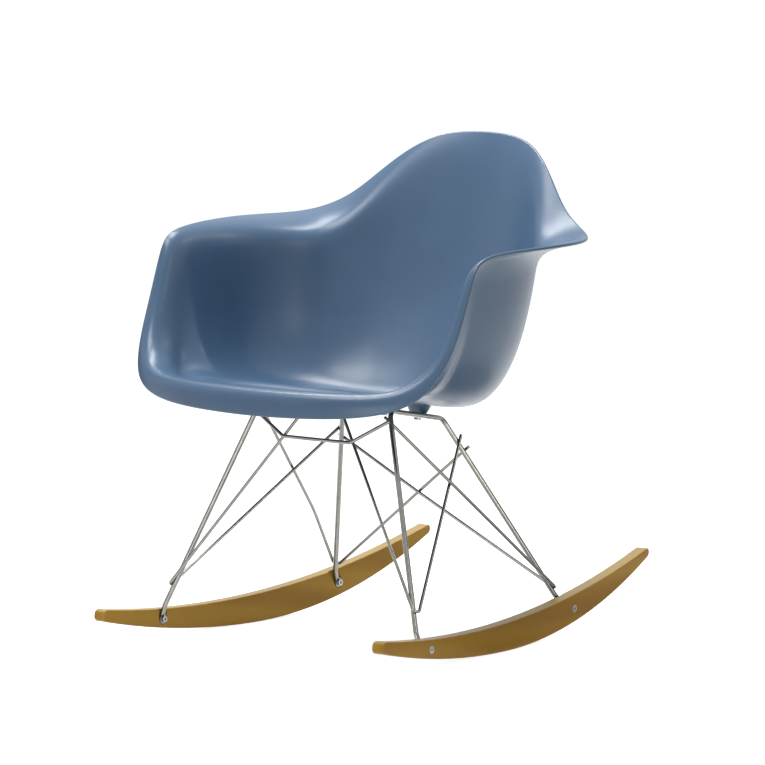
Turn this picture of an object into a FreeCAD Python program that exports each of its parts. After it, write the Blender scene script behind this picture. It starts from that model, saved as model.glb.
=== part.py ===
import FreeCAD, Part
import math
import os
import Sketcher

# Rocking armchair: moulded plastic shell on a wire cradle with two wooden rockers.
# Frame: origin on the floor under the middle of the outline box, +Z up,
# -Y towards the front of the seat, +X towards the sitter's left arm.
# Points are written from a floor point in front of that origin; the finished
# pieces are moved by outlineShift in one step.

doc = FreeCAD.newDocument("rocking_chair")
V = FreeCAD.Vector

# Sizes in millimetres and degrees
sheet = doc.addObject("Spreadsheet::Sheet", "Sizes")
sizes = [
    ("shellWall", 5.5, "thickness of the moulded shell"),
    ("seatLevel", 374, "height of the seat surface above the contact line"),
    ("seatTilt", 10.5, "fall of the seat towards the back"),
    ("bossTopDia", 41, "mounting boss where it meets the shell"),
    ("bossEndDia", 24, "mounting boss at its free end"),
    ("bossLength", 14.7, "mounting boss below the shell"),
    ("bossSink", 3, "how far a boss runs into the shell wall"),
    ("insertDia", 9, "outside of the threaded insert"),
    ("insertLength", 11, "length of the threaded insert"),
    ("insertBore", 5.2, "bore of the threaded insert"),
    ("screwDia", 5, "shank of the shell screw"),
    ("screwReach", 9, "shank inside the insert"),
    ("screwHeadDia", 11, "head of the shell screw"),
    ("screwHeadHeight", 4, "height of that head"),
    ("washerDia", 13, "washer under the screw head"),
    ("washerThick", 1.2, "thickness of that washer"),
    ("tabThick", 3, "mounting tab"),
    ("tabWidth", 17, "width of the mounting tab"),
    ("tabHoleDia", 5.6, "hole in the mounting tab"),
    ("tabReach", 20, "hole centre to the axis of the frame rod"),
    ("frameDia", 8, "heavy rod of the side frames"),
    ("frameBend", 16, "bend radius of the heavy rod"),
    ("crossDia", 5.5, "front cross wire"),
    ("braceDia", 5, "light brace wires"),
    ("braceBend", 7, "bend radius of the brace wires"),
    ("weldBite", 0.06, "depth by which welded wires meet"),
    ("rockerThick", 22, "thickness of the rocker board"),
    ("rockerSpread", 245.1, "centre plane of a rocker from the middle, at the contact line"),
    ("rockerToeIn", 4.35, "angle by which the rockers close towards the back"),
    ("rockerFrontRadius", 1508, "radius of the rolling edge before its lowest point"),
    ("rockerRearRadius", 874, "radius of the rolling edge behind its lowest point"),
    ("rockerShift", 32, "lowest point of the rolling edge along Y, under the centre of mass"),
    ("rockerTopRadius", 1803, "radius of the upper edge"),
    ("rockerTopShift", -66, "centre of the upper edge along Y"),
    ("rockerTopLow", 40.6, "lowest point of the upper edge"),
    ("rockerFront", 303, "rocker in front of the contact line"),
    ("rockerRear", 436, "rocker behind the contact line"),
    ("noseShare", 0.467842, "rounding of the rocker's front end, by the height of that end"),
    ("tailShare", 0.356374, "rounding of the rear end's upper corner, by its height"),
    ("heelShare", 0.712747, "rounding of the rear end's lower corner, by its height"),
    ("rockerEase", 2.3, "rounding of the rocker's long edges"),
    ("recessDepth", 3, "recess for the foot"),
    ("recessWidth", 17.5, "width of that recess"),
    ("eyeDia", 15, "flattened eye at the foot of a leg"),
    ("eyeThick", 3, "thickness of that eye"),
    ("eyeHoleDia", 6.4, "hole in the eye"),
    ("boltDia", 6, "bolt through the rocker"),
    ("boltHeadDia", 9.5, "head of that bolt"),
    ("boltHeadHeight", 4.5, "height of that head"),
    ("boltSocket", 4, "hexagon socket across flats"),
    ("nutHeadDia", 12, "flush head of the sleeve nut"),
    ("nutHeadThick", 2.5, "thickness of that head"),
    ("nutBarrelDia", 8, "barrel of the sleeve nut"),
    ("nutBarrelLength", 13, "length of that barrel"),
    ("nutBore", 6.2, "bore of the sleeve nut"),
    ("runningGap", 0.1, "radial clearance of the nut in its hole"),
    ("outlineShift", 66.7, "from the point the sizes are written from to the frame's origin"),
]
for row, (name, value, words) in enumerate(sizes, start=1):
    sheet.set("A%d" % row, name)
    sheet.set("B%d" % row, str(value))
    sheet.set("C%d" % row, words)
    sheet.setAlias("B%d" % row, name)
doc.recompute()


def size(name):
    return float(sheet.get(name))


def bind(thing, **expressions):
    for prop, expression in expressions.items():
        thing.setExpression(prop, expression)


parts = []


def keep(thing, label):
    thing.Label = label
    parts.append(thing)
    return thing


tilt = math.radians(size("seatTilt"))
toeIn = math.radians(size("rockerToeIn"))
upFromSeat = V(0, math.sin(tilt), math.cos(tilt))


def seatPoint(x, y, drop=0):
    """Point of the seat plane above (x, y), moved down square to the plane."""
    flat = V(x, y, size("seatLevel") - y * math.tan(tilt))
    return flat - upFromSeat * drop


# Moulded shell
# Closed rings of control points run from the middle of the seat out to the rim.
# Each ring starts at the front centre, passes the +X side and ends at the back centre;
# the other half is its mirror image.

rimRing = [
    V(0, -281, 373),      # bottom of the rolled front edge
    V(105, -275, 375),
    V(196, -252, 380),
    V(268, -212, 398),    # foot of the arm
    V(295, -169, 454),
    V(298, -139, 516),    # front edge of the arm
    V(299, -117, 572),
    V(297, -101, 609),    # arm corner
    V(299, -48, 617),
    V(309, 22, 618),      # top of the arm
    V(312, 96, 618),
    V(298, 166, 616),
    V(270, 217, 617),     # rear end of the arm
    V(211, 237, 639),
    V(168, 261, 681),     # side of the back
    V(131, 283, 715),
    V(89, 304, 739),
    V(43, 316, 746),
    V(0, 321, 747),       # top of the back
]
# From a rim point back to the corner round which the edge is rolled
rollRing = [
    V(0, -2, 43),
    V(-3, -3, 42),
    V(-10, -5, 39),
    V(-22, -9, 26),
    V(-22, -8, 12),
    V(-21, -7, 4),
    V(-20, -6, 1),
    V(-18, 4, -6),
    V(-20, 2, -8),
    V(-32, 0, -10),
    V(-50, -10, -11),
    V(-63, -32, -11),
    V(-66, -46, -11),
    V(-36, -32, -11),
    V(-16, -16, -10),
    V(-9, -9, -9),
    V(-5, -8, -12),
    V(-2, -8, -14),
    V(0, -8, -15),
]
# Direction in which the wall leaves that corner, towards the seat
wallRing = [
    V(0, 1, -0.18),
    V(-0.1, 1, -0.18),
    V(-0.35, 1, -0.22),
    V(-0.55, 1, -0.35),
    V(-0.3, 1, -0.25),
    V(-0.2, 1, -0.12),
    V(-0.2, 1, -0.2),
    V(-0.2, 0.8, -0.8),
    V(-0.16, 0.25, -1),
    V(-0.14, 0, -1),
    V(-0.1, -0.05, -1),
    V(-0.08, -0.1, -1),
    V(-0.1, -0.12, -1),
    V(-0.2, -0.25, -1),
    V(-0.22, -0.36, -1),
    V(-0.2, -0.42, -1),
    V(-0.15, -0.44, -1),
    V(-0.05, -0.45, -1),
    V(0, -0.45, -1),
]

seatCentreY = -25
bucketHalfWidth = 222
bucketFront = 195
bucketRear = 164
bucketSquareness = (2.7, 2.1)    # towards the front and towards the back
wallStep = 48
flangeStep = 30                  # under the wide flange of the arm


def seatOutline(direction, halfWidth, front, rear, lift):
    """Point of a rounded outline round the seat's middle, on the seat plane."""
    along = -math.cos(direction)
    across = math.sin(direction)
    reach = front if along < 0 else rear
    n = bucketSquareness[0 if along < 0 else 1]
    r = (abs(across / halfWidth) ** n + abs(along / reach) ** n) ** (-1 / n)
    return seatPoint(r * across, seatCentreY + r * along, -lift)


def halfRings():
    rings = [[] for _ in range(8)]
    for rim, roll, wall in zip(rimRing, rollRing, wallRing):
        corner = rim + roll
        step = flangeStep if roll.Length > 45 and roll.z < 0 else wallStep
        upper = corner + V(wall).normalize() * step
        direction = math.atan2(rim.x, -(rim.y - seatCentreY))
        side = math.sin(direction) ** 2
        back = max(0, -math.cos(direction))
        low = seatOutline(direction, bucketHalfWidth, bucketFront, bucketRear, 4 * side)
        middle = low * 0.45 + upper * 0.55
        middle = middle + V(0, 10 * back, -26 * side - 34 * back)
        middle = middle + V(math.sin(direction) * 10, 0, 0)
        rings[0].append(seatOutline(direction, 42, 42, 42, 0))
        rings[1].append(seatOutline(direction, 80, 80, 75, 0))
        rings[2].append(seatOutline(direction, 150, 135, 118, 0))
        rings[3].append(low)
        rings[4].append(middle)
        rings[5].append(upper)
        rings[6].append(corner)
        rings[7].append(rim)
    return rings


def wholeRing(half):
    mirrored = [V(-p.x, p.y, p.z) for p in reversed(half[1:-1])]
    return half + mirrored


def outwardSteps(rings):
    """The same rings moved square to the surface by the wall's thickness."""
    count = len(rings[0])
    moved = []
    for k, ring in enumerate(rings):
        inner = rings[max(k - 1, 0)]
        outer = rings[min(k + 1, len(rings) - 1)]
        newRing = []
        for i, p in enumerate(ring):
            round_ = ring[(i + 1) % count] - ring[i - 1]
            out_ = outer[i] - inner[i]
            normal = round_.cross(out_).normalize()
            newRing.append(p + normal * size("shellWall"))
        moved.append(newRing)
    return moved


def ringSurface(rings):
    """Smooth face through rings of control points, closed round the shell."""
    poles = [list(column) for column in zip(*rings)]
    spans = len(rings) - 3
    around = len(poles)
    surface = Part.BSplineSurface()
    surface.buildFromPolesMultsKnots(
        poles,
        [1] * (around + 1),
        [4] + [1] * (spans - 1) + [4],
        [float(i) for i in range(around + 1)],
        [float(i) for i in range(spans + 1)],
        True,
        False,
        3,
        3,
    )
    return surface.toShape()


innerRings = [wholeRing(half) for half in halfRings()]
outerRings = outwardSteps(innerRings)
edgeRings = [innerRings[-1], [], [], outerRings[-1]]
for i, rim in enumerate(innerRings[-1]):
    lip = (rim - innerRings[-2][i]).normalize() * size("shellWall") * 2 / 3
    edgeRings[1].append(rim + lip)
    edgeRings[2].append(outerRings[-1][i] + lip)

innerFace = ringSurface(innerRings)
outerFace = ringSurface(outerRings)
edgeFace = ringSurface(edgeRings)


def discFace(face, ring):
    """Flat middle of the seat inside the smallest ring."""
    for edge in face.Edges:
        middle = edge.valueAt((edge.FirstParameter + edge.LastParameter) / 2)
        if abs(middle.x) < 60 and abs(middle.y - seatCentreY) < 60 and edge.isClosed():
            return Part.Face(Part.Wire([edge]))
    raise ValueError("no inner ring found")


skin = Part.makeShell([innerFace, outerFace, edgeFace,
                       discFace(innerFace, innerRings[0]), discFace(outerFace, outerRings[0])])
skin.sewShape()
if not isinstance(skin, Part.Shell):
    skin = skin.Shells[0]
shellSolid = Part.Solid(skin)
if shellSolid.Volume < 0:
    shellSolid.reverse()
shellBlank = doc.addObject("Part::Feature", "ShellBlank")
shellBlank.Shape = shellSolid

# Frame rods: corner points of their centre lines on the +X side
faceX = size("rockerSpread") - size("rockerThick") / 2 / math.cos(toeIn)


def innerFaceX(y):
    """Inner face of the +X rocker at the given Y."""
    return faceX - math.tan(toeIn) * y


frontBolt = V(innerFaceX(-172), -172, 28)
rearBolt = V(innerFaceX(222), 222, 42)
rodDrop = size("shellWall") + size("bossLength") + size("tabThick") / 2
runFront = seatPoint(123, -82, rodDrop)
runRear = seatPoint(96, 82, rodDrop)
rodInset = size("frameDia") / 2 - size("recessDepth")
frontKnee = V(innerFaceX(-174) - rodInset - 4.5, -174, 50)
frontToe = V(innerFaceX(-173.5) - rodInset, -173.5, 39)
rearKnee = V(212.5, 207.5, 63)
rearToe = V(innerFaceX(215) - rodInset, 215, 52)


def bentLine(corners, radii):
    """Wire through the corner points, with an arc at each bend; radii is one size or one per bend."""
    if not isinstance(radii, list):
        radii = [radii] * (len(corners) - 2)
    edges = []
    start = corners[0]
    for i in range(1, len(corners) - 1):
        before = (corners[i - 1] - corners[i]).normalize()
        after = (corners[i + 1] - corners[i]).normalize()
        half = before.getAngle(after) / 2
        legs = min((corners[i - 1] - corners[i]).Length, (corners[i + 1] - corners[i]).Length)
        r = min(radii[i - 1], 0.48 * legs * math.tan(half))
        setback = r / math.tan(half)
        first = corners[i] + before * setback
        last = corners[i] + after * setback
        inward = (before + after).normalize()
        centre = corners[i] + inward * (r / math.sin(half))
        middle = centre - inward * r
        edges.append(Part.LineSegment(start, first).toShape())
        edges.append(Part.Arc(first, middle, last).toShape())
        start = last
    edges.append(Part.LineSegment(start, corners[-1]).toShape())
    return Part.Wire(edges)


def rod(label, corners, radii, diaName):
    """Round rod swept along a bent line."""
    path = doc.addObject("Part::Feature", label + "_line")
    path.Shape = bentLine(corners, radii)
    ring = doc.addObject("Part::Circle", label + "_section")
    bind(ring, Radius="Sizes.%s / 2" % diaName)
    heading = (corners[1] - corners[0]).normalize()
    ring.Placement = FreeCAD.Placement(corners[0], FreeCAD.Rotation(V(0, 0, 1), heading))
    sweep = doc.addObject("Part::Sweep", label)
    sweep.Sections = [ring]
    sweep.Spine = (path, ["Edge%d" % (i + 1) for i in range(len(path.Shape.Edges))])
    sweep.Solid = True
    sweep.Frenet = False
    return sweep


def mirrored(p):
    return V(-p.x, p.y, p.z)


def facing(origin, normal, upward):
    """Placement whose Z looks along normal and whose X leans towards upward."""
    z = V(normal).normalize()
    x = (upward - z * upward.dot(z)).normalize()
    y = z.cross(x)
    return FreeCAD.Placement(origin, FreeCAD.Rotation(x, y, z, "ZXY"))


# Outward normal of the inner rocker face on the +X side, towards the middle of the chair
towardsMiddle = V(-math.cos(toeIn), -math.sin(toeIn), 0)


def footEye(label, bolt, toe, sign):
    """Flattened eye of a leg with its tapering neck, before the hole is made."""
    outward = V(towardsMiddle.x * sign, towardsMiddle.y, 0)
    centre = V(bolt.x * sign, bolt.y, bolt.z) - outward * size("recessDepth")
    neckEnd = V(toe.x * sign, toe.y, toe.z)
    eye = doc.addObject("Part::Cylinder", label + "_disc")
    bind(eye, Radius="Sizes.eyeDia / 2", Height="Sizes.eyeThick")
    eye.Placement = facing(centre, outward, V(0, 0, 1))
    mid = centre + outward * (size("eyeThick") / 2)
    along = (neckEnd - mid).normalize()
    flatWidth = size("eyeDia") * 0.66
    start = mid + along * 5.3
    flat = facing(start, along, outward)
    corners = []
    for u, v in ((-0.5, -0.5), (0.5, -0.5), (0.5, 0.5), (-0.5, 0.5)):
        corners.append(flat.multVec(V(u * size("eyeThick") * 0.94, v * flatWidth, 0)))
    square = Part.makePolygon(corners + [corners[0]])
    rodEnd = facing(neckEnd, along, outward)
    r = size("frameDia") / 2
    quarter = []
    for k in range(4):
        a0 = math.radians(-135 + 90 * k)
        a1 = math.radians(-90 + 90 * k)
        a2 = math.radians(-45 + 90 * k)
        quarter.append(Part.Arc(
            rodEnd.multVec(V(r * math.sin(a0) * -1, r * math.cos(a0) * -1, 0)),
            rodEnd.multVec(V(r * math.sin(a1) * -1, r * math.cos(a1) * -1, 0)),
            rodEnd.multVec(V(r * math.sin(a2) * -1, r * math.cos(a2) * -1, 0))).toShape())
    neck = doc.addObject("Part::Feature", label + "_neck")
    neck.Shape = Part.makeLoft([square, Part.Wire(quarter)], True, True)
    return [eye, neck]


def sideFrame(label, sign):
    corners = [frontToe, frontKnee, runFront, runRear, rearKnee, rearToe]
    if sign < 0:
        corners = [mirrored(p) for p in corners]
    body = rod(label + "_rod", corners, size("frameBend"), "frameDia")
    pieces = [body]
    pieces += footEye(label + "_front", frontBolt, frontToe, sign)
    pieces += footEye(label + "_rear", rearBolt, rearToe, sign)
    joined = doc.addObject("Part::MultiFuse", label + "_joined")
    joined.Shapes = pieces
    joined.Refine = False
    holes = []
    for name, bolt in (("front", frontBolt), ("rear", rearBolt)):
        outward = V(towardsMiddle.x * sign, towardsMiddle.y, 0)
        centre = V(bolt.x * sign, bolt.y, bolt.z) - outward * (size("recessDepth") + 6)
        hole = doc.addObject("Part::Cylinder", label + "_" + name + "_hole")
        bind(hole, Radius="Sizes.eyeHoleDia / 2")
        hole.Height = 20
        hole.Placement = facing(centre, outward, V(0, 0, 1))
        holes.append(hole)
    drills = doc.addObject("Part::MultiFuse", label + "_drills")
    drills.Shapes = holes
    cut = doc.addObject("Part::Cut", label)
    cut.Base = joined
    cut.Tool = drills
    cut.Refine = False
    return keep(cut, label)


sideFrame("side_frame_left", -1)
sideFrame("side_frame_right", 1)


def lineAtHeight(a, b, z):
    return a + (b - a) * ((z - a.z) / (b.z - a.z))


def lean(legPoint, legLine, start, gap, hint):
    """Shift a leg point sideways until a wire from start just touches the leg there."""
    point = V(legPoint)
    for _ in range(6):
        heading = (point - start).normalize()
        away = heading.cross(legLine).normalize()
        if away.dot(hint) < 0:
            away = away * -1
        point = legPoint + away * gap
    return point


def hook(legPoint, legLine, endA, endB, radius, gap):
    """Corner of a bend whose bottom touches the outer side of a leg; the arms run to the ends."""
    corner = V(legPoint)
    for _ in range(8):
        a = (endA(corner) - corner).normalize()
        b = (endB(corner) - corner).normalize()
        out_ = a.cross(b).normalize()
        if out_.x < 0:
            out_ = out_ * -1
        out_ = (out_ - legLine * out_.dot(legLine)).normalize()
        half = a.getAngle(b) / 2
        corner = legPoint + out_ * gap - (a + b).normalize() * (radius / math.sin(half) - radius)
    return corner


frontLegLine = (runFront - frontKnee).normalize()
rearLegLine = (runRear - rearKnee).normalize()
braceGap = (size("frameDia") + size("braceDia")) / 2 - size("weldBite")
crossGap = (size("frameDia") + size("crossDia")) / 2 - size("weldBite")
wireGap = (size("crossDia") + size("braceDia")) / 2 - size("weldBite")

# Front cross wire: dips between the two front legs
crossBend = V(64.5, -108.6, size("seatLevel") - 57)
crossLeg = lineAtHeight(frontKnee, runFront, size("seatLevel") - 23)
crossEnd = lean(crossLeg, frontLegLine, crossBend, crossGap, V(0, -1, 0))
crossEnd = crossEnd + (crossEnd - crossBend).normalize() * 3
keep(rod("front_cross_wire", [mirrored(crossEnd), mirrored(crossBend), crossBend, crossEnd],
         12, "crossDia"), "front_cross_wire")

# Front brace: from the rear leg down to the front foot, up past the cross wire and over
passCross = crossBend + V(1.5, wireGap, 0)


def rearWeld(start):
    leg = lineAtHeight(rearKnee, runRear, size("seatLevel") - 72)
    return lean(leg, rearLegLine, start, braceGap, V(1, 0, 0))


hookFront = hook(lineAtHeight(frontKnee, runFront, frontKnee.z + 30), frontLegLine, rearWeld,
                 lambda start: passCross, size("braceBend"), braceGap)
crestHeading = (passCross - hookFront).normalize()
crest = passCross + crestHeading * ((size("seatLevel") - 12 - passCross.z) / crestHeading.z)
weldRear = rearWeld(hookFront)
endRear = weldRear + (weldRear - hookFront).normalize() * 10
half = [endRear, hookFront, crest]
keep(rod("front_w_brace", half + [mirrored(p) for p in reversed(half)], size("braceBend"),
         "braceDia"), "front_w_brace")


# Rear braces: front corner down to the rear foot, then across to the opposite rear leg
def topWeld(start):
    leg = lineAtHeight(frontKnee, runFront, size("seatLevel") - 17)
    return lean(leg, frontLegLine, start, braceGap, V(-1, 0, 0))


def farWeld(start):
    leg = mirrored(lineAtHeight(rearKnee, runRear, size("seatLevel") - 88))
    return lean(leg, mirrored(rearLegLine), start, braceGap, V(0, 1, 0))


hookRear = hook(lineAtHeight(rearKnee, runRear, rearKnee.z + 7), rearLegLine, topWeld, farWeld,
                size("braceBend"), braceGap)
weldTop = topWeld(hookRear)
endTop = weldTop + (weldTop - hookRear).normalize() * 6
weldFar = farWeld(hookRear)
endFar = weldFar + (weldFar - hookRear).normalize() * 9
shareOut = (0 - hookRear.x) / (weldFar.x - hookRear.x)
crossing = hookRear + (weldFar - hookRear) * shareOut
swerve = V(0, 1, 0.6).normalize() * (size("braceDia") / 2 - size("weldBite") / 2)
bow = hookRear + (weldTop - hookRear) * 0.36 + V(-5, 6, 0)
rightBrace = [endTop, bow, hookRear, crossing - swerve, endFar]
leftBrace = [mirrored(endTop), mirrored(bow), mirrored(hookRear), crossing + swerve,
             mirrored(endFar)]
braceBends = [600, size("braceBend"), size("braceBend")]
keep(rod("rear_v_brace_right", rightBrace, braceBends, "braceDia"), "rear_v_brace_right")
keep(rod("rear_v_brace_left", leftBrace, braceBends, "braceDia"), "rear_v_brace_left")

# Mounting points: front and rear on each frame rod, inboard of it
runHeading = (runRear - runFront).normalize()
inboard = (runHeading.cross(upFromSeat) * -1).normalize()
if inboard.x > 0:
    inboard = inboard * -1
mounts = []
for name, y in (("front", -66), ("rear", 37.5)):
    onRod = runFront + (runRear - runFront) * ((y - runFront.y) / (runRear.y - runFront.y))
    hole = onRod + inboard * size("tabReach")
    mounts.append((name, hole))

bosses = []
bores = []
for name, hole in mounts:
    for sideName, sign in (("left", -1), ("right", 1)):
        tag = "%s_%s" % (name, sideName)
        middle = V(hole.x * sign, hole.y, hole.z)
        seatSide = middle + upFromSeat * (size("tabThick") / 2)
        under = middle - upFromSeat * (size("tabThick") / 2)
        spin = FreeCAD.Rotation(V(1, 0, 0), -size("seatTilt"))

        boss = doc.addObject("Part::Cone", "boss_" + tag)
        bind(boss, Radius1="Sizes.bossEndDia / 2", Radius2="Sizes.bossTopDia / 2",
             Height="Sizes.bossLength + Sizes.bossSink")
        boss.Placement = FreeCAD.Placement(seatSide, spin)
        bosses.append(boss)
        bore = doc.addObject("Part::Cylinder", "bore_" + tag)
        bind(bore, Radius="Sizes.insertDia / 2", Height="Sizes.insertLength + 0.6")
        bore.Placement = FreeCAD.Placement(seatSide, spin)
        bores.append(bore)

        sleeve = doc.addObject("Part::Cylinder", "insert_blank_" + tag)
        bind(sleeve, Radius="Sizes.insertDia / 2", Height="Sizes.insertLength")
        sleeve.Placement = FreeCAD.Placement(seatSide, spin)
        sleeveBore = doc.addObject("Part::Cylinder", "insert_bore_" + tag)
        bind(sleeveBore, Radius="Sizes.insertBore / 2", Height="Sizes.insertLength + 2")
        sleeveBore.Placement = FreeCAD.Placement(seatSide - upFromSeat, spin)
        insert = doc.addObject("Part::Cut", "insert_" + tag)
        insert.Base = sleeve
        insert.Tool = sleeveBore
        keep(insert, "threaded_insert_" + tag)

        # Tab: a plate with one rounded end, its square end against the frame rod
        heading = V(-inboard.x * sign, -inboard.y, -inboard.z)
        tab = doc.addObject("PartDesign::Body", "tab_" + tag)
        plan = tab.newObject("Sketcher::SketchObject", "tab_plan_" + tag)
        plane = [f for f in tab.Origin.OriginFeatures if f.Role == "XY_Plane"][0]
        plan.AttachmentSupport = [(plane, "")]
        plan.MapMode = "FlatFace"
        w = size("tabWidth") / 2
        reach = size("tabReach") - size("frameDia") / 2 + size("weldBite")
        plan.addGeometry(Part.LineSegment(V(0, w, 0), V(reach, w, 0)))
        plan.addGeometry(Part.LineSegment(V(reach, w, 0), V(reach, -w, 0)))
        plan.addGeometry(Part.LineSegment(V(reach, -w, 0), V(0, -w, 0)))
        plan.addGeometry(Part.ArcOfCircle(Part.Circle(V(0, 0, 0), V(0, 0, 1), w),
                                          math.pi / 2, 3 * math.pi / 2))
        plan.addGeometry(Part.Circle(V(0, 0, 0), V(0, 0, 1), size("tabHoleDia") / 2))
        plan.addConstraint(Sketcher.Constraint("Coincident", 0, 2, 1, 1))
        plan.addConstraint(Sketcher.Constraint("Coincident", 1, 2, 2, 1))
        plan.addConstraint(Sketcher.Constraint("Coincident", 2, 2, 3, 2))
        plan.addConstraint(Sketcher.Constraint("Coincident", 3, 1, 0, 1))
        plan.addConstraint(Sketcher.Constraint("Coincident", 3, 3, -1, 1))
        plan.addConstraint(Sketcher.Constraint("Coincident", 4, 3, -1, 1))
        plan.addConstraint(Sketcher.Constraint("PointOnObject", 3, 1, -2))
        plan.addConstraint(Sketcher.Constraint("Horizontal", 0))
        plan.addConstraint(Sketcher.Constraint("Horizontal", 2))
        plan.addConstraint(Sketcher.Constraint("Vertical", 1))
        wide = plan.addConstraint(Sketcher.Constraint("Distance", 1, size("tabWidth")))
        plan.setExpression("Constraints[%d]" % wide, "Sizes.tabWidth")
        far = plan.addConstraint(Sketcher.Constraint("DistanceX", -1, 1, 1, 1, reach))
        plan.setExpression("Constraints[%d]" % far,
                           "Sizes.tabReach - Sizes.frameDia / 2 + Sizes.weldBite")
        round_ = plan.addConstraint(Sketcher.Constraint("Diameter", 4, size("tabHoleDia")))
        plan.setExpression("Constraints[%d]" % round_, "Sizes.tabHoleDia")
        plate = tab.newObject("PartDesign::Pad", "tab_plate_" + tag)
        plate.Profile = plan
        plate.Midplane = True
        plate.setExpression("Length", "Sizes.tabThick")
        tab.Placement = facing(middle, upFromSeat, heading)
        keep(tab, "mount_tab_" + tag)

        # Washer and screw from below
        ringBlank = doc.addObject("Part::Cylinder", "washer_blank_" + tag)
        bind(ringBlank, Radius="Sizes.washerDia / 2", Height="Sizes.washerThick")
        ringBlank.Placement = FreeCAD.Placement(under - upFromSeat * size("washerThick"), spin)
        ringHole = doc.addObject("Part::Cylinder", "washer_hole_" + tag)
        bind(ringHole, Radius="Sizes.tabHoleDia / 2", Height="Sizes.washerThick + 2")
        ringHole.Placement = FreeCAD.Placement(under - upFromSeat * (size("washerThick") + 1), spin)
        washer = doc.addObject("Part::Cut", "washer_" + tag)
        washer.Base = ringBlank
        washer.Tool = ringHole
        keep(washer, "screw_washer_" + tag)

        seat = under - upFromSeat * size("washerThick")
        shank = doc.addObject("Part::Cylinder", "screw_shank_" + tag)
        bind(shank, Radius="Sizes.screwDia / 2",
             Height="Sizes.screwReach + Sizes.tabThick + Sizes.washerThick + 0.5")
        shank.Placement = FreeCAD.Placement(seat - upFromSeat * 0.5, spin)
        head = doc.addObject("Part::Cylinder", "screw_head_" + tag)
        bind(head, Radius="Sizes.screwHeadDia / 2", Height="Sizes.screwHeadHeight")
        head.Placement = FreeCAD.Placement(seat - upFromSeat * size("screwHeadHeight"), spin)
        joined = doc.addObject("Part::Fuse", "screw_joined_" + tag)
        joined.Base = head
        joined.Tool = shank
        socket = doc.addObject("Part::Prism", "screw_socket_" + tag)
        socket.Polygon = 6
        bind(socket, Circumradius="Sizes.boltSocket / sqrt(3)", Height="Sizes.screwHeadHeight * 0.6")
        socket.Placement = FreeCAD.Placement(seat - upFromSeat * size("screwHeadHeight"), spin)
        screw = doc.addObject("Part::Cut", "screw_" + tag)
        screw.Base = joined
        screw.Tool = socket
        keep(screw, "shell_screw_" + tag)

# Shell with its four bosses, bored for the inserts
bossed = doc.addObject("Part::MultiFuse", "ShellBossed")
bossed.Shapes = [shellBlank] + bosses
bossed.Refine = False
boreSet = doc.addObject("Part::MultiFuse", "ShellBores")
boreSet.Shapes = bores
shell = doc.addObject("Part::Cut", "Shell")
shell.Base = bossed
shell.Tool = boreSet
shell.Refine = False
keep(shell, "seat_shell")


def roleOf(body, role):
    return [f for f in body.Origin.OriginFeatures if f.Role == role][0]


def lowEdge(y):
    past = y - size("rockerShift")
    r = size("rockerFrontRadius" if past < 0 else "rockerRearRadius")
    return r - math.sqrt(r ** 2 - past ** 2)


def highEdge(y):
    r = size("rockerTopRadius")
    rise = r - math.sqrt(r ** 2 - (y - size("rockerTopShift")) ** 2)
    return size("rockerTopLow") + rise


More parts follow.
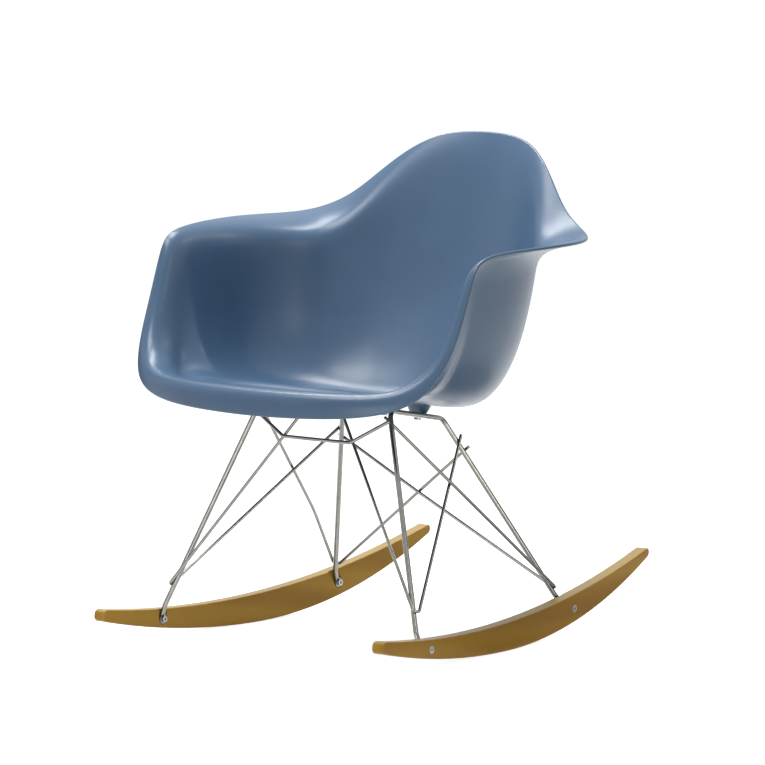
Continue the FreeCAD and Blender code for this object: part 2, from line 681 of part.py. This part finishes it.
def rocker(label, sign):
    """Crescent board with recesses for the feet and stepped holes for the nuts."""
    body = doc.addObject("PartDesign::Body", label + "_blank")
    side = body.newObject("Sketcher::SketchObject", label + "_side")
    side.AttachmentSupport = [(roleOf(body, "YZ_Plane"), "")]
    side.MapMode = "FlatFace"
    front = -size("rockerFront")
    rear = size("rockerRear")
    frontLow = V(front, lowEdge(front), 0)
    frontHigh = V(front + 3, highEdge(front + 3), 0)
    rearLow = V(rear, lowEdge(rear), 0)
    rearHigh = V(rear - 1, highEdge(rear - 1), 0)
    lowest = V(size("rockerShift"), 0, 0)
    highMiddle = V(size("rockerTopShift"), size("rockerTopLow"), 0)
    halfFront = (front + lowest.x) / 2
    halfRear = (rear + lowest.x) / 2
    lowArc = Part.Arc(frontLow, V(halfFront, lowEdge(halfFront), 0), lowest)
    rearArc = Part.Arc(lowest, V(halfRear, lowEdge(halfRear), 0), rearLow)
    highArc = Part.Arc(frontHigh, highMiddle, rearHigh)
    low = side.addGeometry(lowArc)
    lowRear = side.addGeometry(rearArc)
    high = side.addGeometry(highArc)
    nose = side.addGeometry(Part.LineSegment(frontLow, frontHigh))
    tail = side.addGeometry(Part.LineSegment(rearLow, rearHigh))
    side.addConstraint(Sketcher.Constraint("Coincident", nose, 1, low, 1))
    side.addConstraint(Sketcher.Constraint("Coincident", nose, 2, high, 1))
    side.addConstraint(Sketcher.Constraint("Tangent", low, 2, lowRear, 1))
    side.addConstraint(Sketcher.Constraint("Coincident", tail, 1, lowRear, 2))
    side.addConstraint(Sketcher.Constraint("Coincident", tail, 2, high, 2))
    c = side.addConstraint(Sketcher.Constraint("Radius", low, size("rockerFrontRadius")))
    side.setExpression("Constraints[%d]" % c, "Sizes.rockerFrontRadius")
    c = side.addConstraint(Sketcher.Constraint("Radius", lowRear, size("rockerRearRadius")))
    side.setExpression("Constraints[%d]" % c, "Sizes.rockerRearRadius")
    c = side.addConstraint(Sketcher.Constraint("Radius", high, size("rockerTopRadius")))
    side.setExpression("Constraints[%d]" % c, "Sizes.rockerTopRadius")
    board = body.newObject("PartDesign::Pad", label + "_board")
    board.Profile = side
    board.Midplane = True
    board.setExpression("Length", "Sizes.rockerThick")
    doc.recompute()
    rounded = board
    noseHeight = frontHigh.y - frontLow.y
    tailHeight = rearHigh.y - rearLow.y
    for name, share, height in (("front", "noseShare", noseHeight),
                                ("top", "tailShare", tailHeight),
                                ("heel", "heelShare", tailHeight)):
        ends = []
        for i, edge in enumerate(rounded.Shape.Edges):
            box = edge.BoundBox
            sharp = box.XLength > size("rockerThick") * 0.9 and box.YLength < 0.01
            places = {
                "front": box.YMin < front + 20,
                "top": box.YMin > rear - 20 and box.ZMin > lowEdge(rear) + 8,
                "heel": box.YMin > rear - 20 and box.ZMin < lowEdge(rear) + 2,
            }
            if sharp and places[name]:
                ends.append("Edge%d" % (i + 1))
        fillet = body.newObject("PartDesign::Fillet", "%s_%s_end" % (label, name))
        fillet.Base = (rounded, ends)
        fillet.setExpression("Radius", "Sizes.%s * %.6f" % (share, height))
        doc.recompute()
        rounded = fillet
    longEdges = []
    for i, edge in enumerate(rounded.Shape.Edges):
        if edge.BoundBox.XLength < 0.01:
            longEdges.append("Edge%d" % (i + 1))
    eased = body.newObject("PartDesign::Fillet", label + "_eased")
    eased.Base = (rounded, longEdges)
    eased.setExpression("Radius", "Sizes.rockerEase")
    doc.recompute()
    body.Tip = eased
    turn = FreeCAD.Rotation(V(0, 0, 1), size("rockerToeIn") * sign)
    body.Placement = FreeCAD.Placement(V(size("rockerSpread") * sign, 0, 0), turn)

    tools = []
    for name, bolt, toe in (("front", frontBolt, frontKnee), ("rear", rearBolt, rearKnee)):
        inward = V(towardsMiddle.x * sign, towardsMiddle.y, 0)
        face = V(bolt.x * sign, bolt.y, bolt.z)
        up = V(0, toe.y - bolt.y, toe.z - bolt.z)
        place = facing(face - inward * size("recessDepth"), inward, up)
        pocketRound = doc.addObject("Part::Cylinder", "%s_%s_recess_end" % (label, name))
        bind(pocketRound, Radius="Sizes.recessWidth / 2", Height="Sizes.recessDepth + 2")
        pocketRound.Placement = place
        slot = doc.addObject("Part::Box", "%s_%s_recess_run" % (label, name))
        bind(slot, Width="Sizes.recessWidth", Height="Sizes.recessDepth + 2")
        slot.Length = 60
        slot.Placement = place.multiply(
            FreeCAD.Placement(V(0, -size("recessWidth") / 2, 0), FreeCAD.Rotation()))
        barrelHole = doc.addObject("Part::Cylinder", "%s_%s_hole" % (label, name))
        bind(barrelHole, Radius="Sizes.nutBarrelDia / 2 + Sizes.runningGap")
        barrelHole.Height = 60
        barrelHole.Placement = facing(face + inward * 10, inward * -1, V(0, 0, 1))
        headHole = doc.addObject("Part::Cylinder", "%s_%s_counterbore" % (label, name))
        bind(headHole, Radius="Sizes.nutHeadDia / 2 + Sizes.runningGap",
             Height="Sizes.nutHeadThick + 5")
        outer = face - inward * (size("rockerThick") - size("nutHeadThick"))
        headHole.Placement = facing(outer, inward * -1, V(0, 0, 1))
        tools += [pocketRound, slot, barrelHole, headHole]
    waste = doc.addObject("Part::MultiFuse", label + "_waste")
    waste.Shapes = tools
    cut = doc.addObject("Part::Cut", label + "_cut")
    cut.Base = body
    cut.Tool = waste
    return keep(cut, label)


rocker("rocker_left", -1)
rocker("rocker_right", 1)

# Bolts from the inner side and sleeve nuts from the outer side of each rocker
for sideName, sign in (("left", -1), ("right", 1)):
    inward = V(towardsMiddle.x * sign, towardsMiddle.y, 0)
    for name, bolt in (("front", frontBolt), ("rear", rearBolt)):
        tag = "%s_%s" % (name, sideName)
        face = V(bolt.x * sign, bolt.y, bolt.z)
        eyeFace = face - inward * (size("recessDepth") - size("eyeThick"))
        head = doc.addObject("Part::Cylinder", "bolt_head_" + tag)
        bind(head, Radius="Sizes.boltHeadDia / 2", Height="Sizes.boltHeadHeight")
        head.Placement = facing(eyeFace, inward, V(0, 0, 1))
        shank = doc.addObject("Part::Cylinder", "bolt_shank_" + tag)
        bind(shank, Radius="Sizes.boltDia / 2", Height="Sizes.rockerThick - Sizes.nutHeadThick")
        shank.Placement = facing(eyeFace + inward * 0.5, inward * -1, V(0, 0, 1))
        joined = doc.addObject("Part::Fuse", "bolt_joined_" + tag)
        joined.Base = head
        joined.Tool = shank
        socket = doc.addObject("Part::Prism", "bolt_socket_" + tag)
        socket.Polygon = 6
        bind(socket, Circumradius="Sizes.boltSocket / sqrt(3)", Height="Sizes.boltHeadHeight")
        socket.Placement = facing(eyeFace + inward * (size("boltHeadHeight") * 0.4), inward,
                                  V(0, 0, 1))
        done = doc.addObject("Part::Cut", "bolt_" + tag)
        done.Base = joined
        done.Tool = socket
        keep(done, "rocker_bolt_" + tag)

        outer = face - inward * size("rockerThick")
        nutHead = doc.addObject("Part::Cylinder", "nut_head_" + tag)
        bind(nutHead, Radius="Sizes.nutHeadDia / 2", Height="Sizes.nutHeadThick")
        nutHead.Placement = facing(outer, inward, V(0, 0, 1))
        barrel = doc.addObject("Part::Cylinder", "nut_barrel_" + tag)
        bind(barrel, Radius="Sizes.nutBarrelDia / 2", Height="Sizes.nutBarrelLength")
        barrel.Placement = facing(outer + inward * 0.5, inward, V(0, 0, 1))
        nutSolid = doc.addObject("Part::Fuse", "nut_joined_" + tag)
        nutSolid.Base = nutHead
        nutSolid.Tool = barrel
        thread = doc.addObject("Part::Cylinder", "nut_thread_" + tag)
        bind(thread, Radius="Sizes.nutBore / 2")
        thread.Height = 30
        thread.Placement = facing(outer + inward * (size("nutHeadThick") - 0.2), inward, V(0, 0, 1))
        key = doc.addObject("Part::Prism", "nut_key_" + tag)
        key.Polygon = 6
        bind(key, Circumradius="Sizes.boltSocket / sqrt(3)")
        key.Height = 6
        key.Placement = facing(outer - inward * 4.2, inward, V(0, 0, 1))
        inside = doc.addObject("Part::Fuse", "nut_inside_" + tag)
        inside.Base = thread
        inside.Tool = key
        nut = doc.addObject("Part::Cut", "nut_" + tag)
        nut.Base = nutSolid
        nut.Tool = inside
        keep(nut, "sleeve_nut_" + tag)

doc.recompute()

# Every piece is checked before any file is written
for thing in doc.Objects:
    if "Invalid" in thing.State or "Error" in thing.State:
        raise RuntimeError("failed: %s %s" % (thing.Name, thing.State))
for thing in parts:
    shape = thing.Shape
    if shape.isNull() or not shape.isValid():
        raise RuntimeError("bad shape: %s" % thing.Label)
    if len(shape.Solids) != 1:
        raise RuntimeError("%s has %d solids" % (thing.Label, len(shape.Solids)))
    moved = FreeCAD.Placement(V(0, -size("outlineShift"), 0), FreeCAD.Rotation())
    thing.Placement = moved.multiply(thing.Placement)

os.makedirs("parts", exist_ok=True)
for thing in parts:
    thing.Shape.exportStep("parts/%s.step" % thing.Label)
    print("%-30s %12.1f mm3" % (thing.Label, thing.Shape.Volume))
print(len(parts), "pieces")
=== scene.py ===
import math

import bpy
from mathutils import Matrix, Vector

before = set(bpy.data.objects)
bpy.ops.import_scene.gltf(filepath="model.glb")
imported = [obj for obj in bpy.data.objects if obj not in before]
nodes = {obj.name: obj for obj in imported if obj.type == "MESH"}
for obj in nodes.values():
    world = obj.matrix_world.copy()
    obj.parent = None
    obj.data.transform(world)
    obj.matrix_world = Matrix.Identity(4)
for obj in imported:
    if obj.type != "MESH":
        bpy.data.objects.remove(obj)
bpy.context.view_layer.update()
print("frame loaded:", len(nodes), "pieces")


def colour(hexText):  # sRGB hex to the linear colour a shader takes
    parts = [int(hexText[i:i + 2], 16) / 255 for i in (1, 3, 5)]
    linear = [c / 12.92 if c <= 0.04045 else ((c + 0.055) / 1.055) ** 2.4 for c in parts]
    return (*linear, 1.0)


def grey(level):
    return (level, level, level, 1.0)


def addNode(tree, kind, settings=None, links=None):
    node = tree.nodes.new(kind)
    for name, value in (settings or {}).items():
        if name == "stops":  # the two stops of a colour ramp, each (place, colour)
            for stop, (place, shade) in zip(node.color_ramp.elements, value):
                stop.position = place
                stop.color = shade
        elif name in node.inputs.keys():
            node.inputs[name].default_value = value
        else:
            setattr(node, name, value)
    for name, socket in (links or {}).items():
        tree.links.new(socket, node.inputs[name])
    return node


def newMaterial(name):
    material = bpy.data.materials.new(name)
    material.use_nodes = True
    material.node_tree.nodes.clear()
    return material, material.node_tree


# the shell: injection-moulded polypropylene

shellLook = {
    "body": "#435F7D",        # through-coloured steel blue
    "cloud": "#476482",       # slightly lighter drift where the melt flowed
    "cloudSize": 90,          # mm
    "roughness": (0.29, 0.35),
    "grain": 1.3,             # mm, drawn coarser than the real 0.2 mm spark-eroded skin
    "grainDepth": 0.02,       # mm
    "grainStrength": 0.35,
    "ior": 1.49,
}


def mouldedPolypropylene(look):
    # satin skin from a spark-eroded mould: even colour, broad soft highlights
    material, tree = newMaterial("mouldedPolypropylene")
    place = addNode(tree, "ShaderNodeTexCoord").outputs["Object"]
    drift = addNode(tree, "ShaderNodeTexNoise",
                    {"Scale": 1000 / look["cloudSize"], "Detail": 3.0, "Roughness": 0.5},
                    {"Vector": place})
    tint = addNode(tree, "ShaderNodeValToRGB",
                   {"stops": [(0.35, colour(look["body"])), (0.7, colour(look["cloud"]))]},
                   {"Fac": drift.outputs["Fac"]})
    skin = addNode(tree, "ShaderNodeTexNoise",
                   {"Scale": 1000 / look["grain"], "Detail": 4.0, "Roughness": 0.6},
                   {"Vector": place})
    low, high = look["roughness"]
    satin = addNode(tree, "ShaderNodeValToRGB", {"stops": [(0.3, grey(low)), (0.7, grey(high))]},
                    {"Fac": skin.outputs["Fac"]})
    bump = addNode(tree, "ShaderNodeBump",
                   {"Strength": look["grainStrength"], "Distance": look["grainDepth"] / 1000},
                   {"Height": skin.outputs["Fac"]})
    shader = addNode(tree, "ShaderNodeBsdfPrincipled", {"IOR": look["ior"]},
                     {"Base Color": tint.outputs["Color"], "Roughness": satin.outputs["Color"],
                      "Normal": bump.outputs["Normal"]})
    addNode(tree, "ShaderNodeOutputMaterial", links={"Surface": shader.outputs["BSDF"]})
    return material


# the wires and tabs: drawn steel, welded and chrome plated

wireLook = {
    "plate": "#8C8C88",
    "haze": "#7E7E79",        # thin film where the plate is slightly milky
    "hazeSize": 14,           # mm
    "roughness": (0.10, 0.19),
    "polish": 0.5,            # mm between polishing lines
    "polishDepth": 0.01,      # mm
    "polishStrength": 0.03,
}


def chromePlatedSteel(look):
    # mirror-like, but with faint polishing lines and a little haze from handling
    material, tree = newMaterial("chromePlatedSteelWire")
    place = addNode(tree, "ShaderNodeTexCoord").outputs["Object"]
    haze = addNode(tree, "ShaderNodeTexNoise",
                   {"Scale": 1000 / look["hazeSize"], "Detail": 5.0, "Roughness": 0.6},
                   {"Vector": place})
    tint = addNode(tree, "ShaderNodeValToRGB",
                   {"stops": [(0.4, colour(look["plate"])), (0.75, colour(look["haze"]))]},
                   {"Fac": haze.outputs["Fac"]})
    low, high = look["roughness"]
    shine = addNode(tree, "ShaderNodeValToRGB", {"stops": [(0.4, grey(low)), (0.8, grey(high))]},
                    {"Fac": haze.outputs["Fac"]})
    lines = addNode(tree, "ShaderNodeTexNoise", {"Scale": 1000 / look["polish"], "Detail": 2.0},
                    {"Vector": place})
    bump = addNode(tree, "ShaderNodeBump",
                   {"Strength": look["polishStrength"], "Distance": look["polishDepth"] / 1000},
                   {"Height": lines.outputs["Fac"]})
    shader = addNode(tree, "ShaderNodeBsdfPrincipled", {"Metallic": 1.0},
                     {"Base Color": tint.outputs["Color"], "Roughness": shine.outputs["Color"],
                      "Normal": bump.outputs["Normal"]})
    addNode(tree, "ShaderNodeOutputMaterial", links={"Surface": shader.outputs["BSDF"]})
    return material


# the rockers: solid maple, sawn, sanded and lacquered

rockerLook = {
    "early": "#B48B33",       # light early wood
    "late": "#A27826",        # darker late wood
    "fleck": "#8B651E",       # short ray flecks
    "fleckShare": 0.45,       # how strongly the flecks show
    "edge": "#CDB47E",        # painted light: faces turned up or down drawn paler than the sides, as if lit from above
    "edgeShare": 0.8,
    "bandWidth": 69.115,      # mm across one light and one dark band of the figure
    "bandBreak": 3.0,         # how far the bands break up, 0 for straight bands
    "sway": 0.02,             # how far the figure wanders
    "grainRun": 22,           # how many times longer than wide a figure is
    "pore": 0.45,             # mm across the grain
    "poreDepth": 0.1,         # mm
    "poreStrength": 0.25,
    "roughness": (0.36, 0.48),
    "gloss": 0.12,            # specular level of the filled wood
    "lacquer": 0.12,          # weight of the clear coat
    "lacquerRoughness": 0.22,
    "toeIn": 4.35,            # degrees by which each rocker closes towards the back
}


def lacqueredMaple(look, name, side):
    # straight grain along the board; the clear coat leaves a soft sheen over fine pores
    material, tree = newMaterial(name)
    coordinates = addNode(tree, "ShaderNodeTexCoord").outputs
    along = addNode(tree, "ShaderNodeMapping",
                    {"Rotation": (0.0, 0.0, side * math.radians(look["toeIn"])),
                     "Scale": (1.0, 1 / look["grainRun"], 1.0)},
                    {"Vector": coordinates["Object"]}).outputs["Vector"]
    sway = addNode(tree, "ShaderNodeTexNoise", {"Scale": 14.0, "Detail": 2.0}, {"Vector": along})
    swayed = addNode(tree, "ShaderNodeMixRGB", {"blend_type": "ADD", "Fac": look["sway"]},
                     {"Color1": along, "Color2": sway.outputs["Color"]})
    # a diagonal wave turns by 10 radians per metre at scale 1
    bands = addNode(tree, "ShaderNodeTexWave",
                    {"wave_type": "BANDS", "bands_direction": "DIAGONAL",
                     "Scale": 2 * math.pi * 1000 / look["bandWidth"] / 10,
                     "Distortion": look["bandBreak"], "Detail": 3.0, "Detail Scale": 1.5},
                    {"Vector": swayed.outputs["Color"]})
    bandShade = addNode(tree, "ShaderNodeValToRGB",
                        {"stops": [(0.25, colour(look["early"])), (0.95, colour(look["late"]))]},
                        {"Fac": bands.outputs["Fac"]}).outputs["Color"]
    pores = addNode(tree, "ShaderNodeTexNoise",
                    {"Scale": 1000 / look["pore"], "Detail": 3.0, "Roughness": 0.6},
                    {"Vector": along}).outputs["Fac"]
    flecks = addNode(tree, "ShaderNodeValToRGB", {"stops": [(0.52, grey(0.0)), (0.72, grey(1.0))]},
                     {"Fac": pores})
    flecked = addNode(tree, "ShaderNodeMixRGB", {"Color2": colour(look["fleck"])},
                      {"Fac": flecks.outputs["Color"], "Color1": bandShade})
    wood = addNode(tree, "ShaderNodeMixRGB", {"Fac": look["fleckShare"]},
                   {"Color1": bandShade, "Color2": flecked.outputs["Color"]})
    # painted light: faces turned up or down take the paler colour, standing in for the light from
    # above
    upward = addNode(tree, "ShaderNodeSeparateXYZ", links={"Vector": coordinates["Normal"]})
    level = addNode(tree, "ShaderNodeMath", {"operation": "ABSOLUTE"}, {0: upward.outputs["Z"]})
    edges = addNode(tree, "ShaderNodeValToRGB",
                    {"stops": [(0.6, grey(0.0)), (0.85, grey(look["edgeShare"]))]},
                    {"Fac": level.outputs[0]})
    board = addNode(tree, "ShaderNodeMixRGB", {"Color2": colour(look["edge"])},
                    {"Fac": edges.outputs["Color"], "Color1": wood.outputs["Color"]})
    low, high = look["roughness"]
    satin = addNode(tree, "ShaderNodeValToRGB", {"stops": [(0.3, grey(low)), (0.8, grey(high))]},
                    {"Fac": pores})
    bump = addNode(tree, "ShaderNodeBump",
                   {"Strength": look["poreStrength"], "Distance": look["poreDepth"] / 1000},
                   {"Height": pores})
    shader = addNode(tree, "ShaderNodeBsdfPrincipled",
                     {"Specular IOR Level": look["gloss"], "Coat Weight": look["lacquer"],
                      "Coat Roughness": look["lacquerRoughness"]},
                     {"Base Color": board.outputs["Color"], "Roughness": satin.outputs["Color"],
                      "Normal": bump.outputs["Normal"]})
    addNode(tree, "ShaderNodeOutputMaterial", links={"Surface": shader.outputs["BSDF"]})
    return material


# screws, bolts, washers and sleeve nuts: turned steel, zinc plated

fastenerLook = {
    "zinc": "#B4B5B3",
    "dull": "#94969A",
    "patch": 3.0,             # mm
    "roughness": (0.24, 0.38),
    "turning": 0.35,          # mm between turning marks
    "turningDepth": 0.03,     # mm
    "turningStrength": 0.2,
}


def zincPlatedSteel(look):
    # cool grey plate with small dull patches and turning marks
    material, tree = newMaterial("zincPlatedSteel")
    place = addNode(tree, "ShaderNodeTexCoord").outputs["Object"]
    patches = addNode(tree, "ShaderNodeTexNoise", {"Scale": 1000 / look["patch"], "Detail": 4.0},
                      {"Vector": place})
    tint = addNode(tree, "ShaderNodeValToRGB",
                   {"stops": [(0.4, colour(look["zinc"])), (0.7, colour(look["dull"]))]},
                   {"Fac": patches.outputs["Fac"]})
    low, high = look["roughness"]
    shine = addNode(tree, "ShaderNodeValToRGB", {"stops": [(0.35, grey(low)), (0.75, grey(high))]},
                    {"Fac": patches.outputs["Fac"]})
    marks = addNode(tree, "ShaderNodeTexNoise", {"Scale": 1000 / look["turning"], "Detail": 2.0},
                    {"Vector": place})
    bump = addNode(tree, "ShaderNodeBump",
                   {"Strength": look["turningStrength"], "Distance": look["turningDepth"] / 1000},
                   {"Height": marks.outputs["Fac"]})
    shader = addNode(tree, "ShaderNodeBsdfPrincipled", {"Metallic": 1.0},
                     {"Base Color": tint.outputs["Color"], "Roughness": shine.outputs["Color"],
                      "Normal": bump.outputs["Normal"]})
    addNode(tree, "ShaderNodeOutputMaterial", links={"Surface": shader.outputs["BSDF"]})
    return material


# threaded inserts: turned brass

insertLook = {
    "brass": "#C4A15A",
    "tarnish": "#9A7B42",
    "patch": 2.5,             # mm
    "roughness": (0.25, 0.42),
}


def turnedBrass(look):
    # warm metal, tarnished in small patches
    material, tree = newMaterial("turnedBrass")
    place = addNode(tree, "ShaderNodeTexCoord").outputs["Object"]
    patches = addNode(tree, "ShaderNodeTexNoise", {"Scale": 1000 / look["patch"], "Detail": 4.0},
                      {"Vector": place})
    tint = addNode(tree, "ShaderNodeValToRGB",
                   {"stops": [(0.4, colour(look["brass"])), (0.75, colour(look["tarnish"]))]},
                   {"Fac": patches.outputs["Fac"]})
    low, high = look["roughness"]
    shine = addNode(tree, "ShaderNodeValToRGB", {"stops": [(0.35, grey(low)), (0.75, grey(high))]},
                    {"Fac": patches.outputs["Fac"]})
    shader = addNode(tree, "ShaderNodeBsdfPrincipled", {"Metallic": 1.0},
                     {"Base Color": tint.outputs["Color"], "Roughness": shine.outputs["Color"]})
    addNode(tree, "ShaderNodeOutputMaterial", links={"Surface": shader.outputs["BSDF"]})
    return material


plastic = mouldedPolypropylene(shellLook)
chrome = chromePlatedSteel(wireLook)
zinc = zincPlatedSteel(fastenerLook)
brass = turnedBrass(insertLook)

# the start of a piece's name, and its finish
finishes = {
    "seat_shell": plastic,
    "side_frame": chrome,
    "front_cross_wire": chrome,
    "front_w_brace": chrome,
    "rear_v_brace": chrome,
    "mount_tab": chrome,
    "threaded_insert": brass,
    "screw_washer": zinc,
    "shell_screw": zinc,
    "rocker_bolt": zinc,
    "sleeve_nut": zinc,
    "rocker_left": lacqueredMaple(rockerLook, "lacqueredMapleLeft", 1),
    "rocker_right": lacqueredMaple(rockerLook, "lacqueredMapleRight", -1),
}


def dress(node):
    for start, material in finishes.items():
        if node.name.startswith(start):
            for place in node.material_slots:
                place.link = "OBJECT"
                place.material = material
            return
    raise ValueError("no finish for " + node.name)


for node in nodes.values():
    dress(node)
print("materials on", len(nodes), "pieces")


# the studio: white sweep, soft lamps, and cards that only reflections show

studio = {
    "floorGrey": 0.8,
    "floorSize": 120,         # m
    "floorGlow": 0.84,        # added for the camera and for reflections only
    "worldLight": 0.22,
    "worldWhite": 1.0,        # what the camera and reflections see behind the chair
    "lampsFace": (0, 0, 0.4),
    "lamps": [
        # name, place, size, watts, colour
        ("overheadFront", (-0.5, -0.9, 2.8), 1.1, 35, "#FFFFFF"),
        ("overheadRear", (-0.4, 0.5, 2.8), 0.9, 34, "#FFFFFF"),
        ("shoulder", (-1.2, 0.4, 2.6), 0.7, 20, "#FFFFFF"),
        ("frontLow", (0.7, -2.6, 0.4), 0.9, 8, "#FFFFFF"),
        ("rightFront", (2.7, -1.0, 2.0), 0.35, 4, "#FFF4E0"),
        ("rightRear", (1.6, 2.2, 2.4), 0.35, 3.5, "#FFEFD2"),
        ("rightLow", (2.2, -0.7, 0.35), 0.5, 5.5, "#FFF4E0"),
    ],
    "cards": [
        # name, place, point it faces, width, height, grey
        ("cardLeft", (-2.2, 0.3, 0.7), (0, 0, 0.7), 0.8, 2.2, 0.02),
        ("cardRight", (2.2, -1.6, 0.7), (0, 0, 0.7), 0.8, 2.2, 0.02),
        ("cardRear", (1.5, 1.9, 0.6), (0, 0, 0.6), 1.8, 0.9, 0.12),
        ("cardFloor", (0.48, 0.3, 0.004), (0.48, 0.3, 1), 0.45, 0.75, 0.6),
    ],
}


def whiteRays(tree):
    # 1 for a ray from the camera, off a shiny surface or through glass, and 0 for the rest
    rays = addNode(tree, "ShaderNodeLightPath").outputs
    seen = addNode(tree, "ShaderNodeMath", {"operation": "MAXIMUM"},
                   {0: rays["Is Camera Ray"], 1: rays["Is Glossy Ray"]})
    both = addNode(tree, "ShaderNodeMath", {"operation": "MAXIMUM"},
                   {0: seen.outputs[0], 1: rays["Is Transmission Ray"]})
    return both.outputs[0]


def sweepMaterial():
    # matt white paper: takes the shadow, and shows white to the camera and to the chrome
    material, tree = newMaterial("whitePaperSweep")
    paper = addNode(tree, "ShaderNodeBsdfDiffuse", {"Color": grey(studio["floorGrey"])})
    none = addNode(tree, "ShaderNodeEmission", {"Color": grey(0.0), "Strength": 0.0})
    glow = addNode(tree, "ShaderNodeEmission",
                   {"Color": grey(1.0), "Strength": studio["floorGlow"]})
    extra = addNode(tree, "ShaderNodeMixShader",
                    links={"Fac": whiteRays(tree), 1: none.outputs[0], 2: glow.outputs[0]})
    total = addNode(tree, "ShaderNodeAddShader", links={0: paper.outputs[0], 1: extra.outputs[0]})
    addNode(tree, "ShaderNodeOutputMaterial", links={"Surface": total.outputs[0]})
    return material


def cardMaterial(name, shade):
    # black flock or grey felt on a card
    material, tree = newMaterial(name + "Felt")
    felt = addNode(tree, "ShaderNodeBsdfDiffuse", {"Color": grey(shade)})
    addNode(tree, "ShaderNodeOutputMaterial", links={"Surface": felt.outputs[0]})
    return material


def aim(thing, target):
    thing.rotation_euler = (Vector(target) - thing.location).to_track_quat("-Z", "Y").to_euler()


def buildStudio():
    bpy.ops.object.select_all(action="DESELECT")
    bpy.ops.mesh.primitive_plane_add(size=studio["floorSize"], location=(0, 0, 0))
    floor = bpy.context.object
    floor.name = "paperSweep"
    floor.data.materials.append(sweepMaterial())

    for name, place, faced, width, height, shade in studio["cards"]:
        bpy.ops.mesh.primitive_plane_add(size=1, location=place)
        card = bpy.context.object
        card.name = name
        card.scale = (width, height, 1)
        aim(card, faced)
        card.data.materials.append(cardMaterial(name, shade))
        card.visible_camera = False
        card.visible_diffuse = False
        card.visible_shadow = False

    for name, place, width, watts, tint in studio["lamps"]:
        bpy.ops.object.light_add(type="AREA", location=place)
        lamp = bpy.context.object
        lamp.name = name
        lamp.data.shape = "SQUARE"
        lamp.data.size = width
        lamp.data.energy = watts
        lamp.data.color = colour(tint)[:3]
        aim(lamp, studio["lampsFace"])


def lightWorld():
    # dim to the chair's own surfaces, white to the camera and to reflections
    world = bpy.data.worlds.new("whiteStudio")
    bpy.context.scene.world = world
    world.use_nodes = True
    tree = world.node_tree
    tree.nodes.clear()
    light = addNode(tree, "ShaderNodeBackground",
                    {"Color": grey(1.0), "Strength": studio["worldLight"]})
    white = addNode(tree, "ShaderNodeBackground",
                    {"Color": grey(1.0), "Strength": studio["worldWhite"]})
    choose = addNode(tree, "ShaderNodeMixShader",
                     links={"Fac": whiteRays(tree), 1: light.outputs[0], 2: white.outputs[0]})
    addNode(tree, "ShaderNodeOutputWorld", links={"Surface": choose.outputs[0]})


buildStudio()
lightWorld()
print("studio built:", len(studio["lamps"]), "lamps and", len(studio["cards"]), "cards")


# the camera, set to the photograph's angle

shot = {
    "azimuth": 38.0,          # degrees round from the front
    "elevation": 7.293,       # degrees above the floor
    "distance": 18.0,         # m
    "lens": 557.2,            # mm
    "sensor": 36,             # mm
    "reach": 400,             # m, past which nothing is drawn
    "target": (0.0, -0.0128, 0.3873),
}


def placeCamera():
    around = math.radians(shot["azimuth"])
    up = math.radians(shot["elevation"])
    back = Vector((math.sin(around) * math.cos(up), -math.cos(around) * math.cos(up), math.sin(up)))
    bpy.ops.object.camera_add(location=Vector(shot["target"]) + back * shot["distance"])
    camera = bpy.context.object
    camera.name = "photoCamera"
    camera.data.lens = shot["lens"]
    camera.data.sensor_width = shot["sensor"]
    camera.data.clip_end = shot["reach"]
    aim(camera, shot["target"])
    bpy.context.scene.camera = camera


placeCamera()
bpy.context.scene.view_settings.view_transform = "Standard"
print("camera placed")
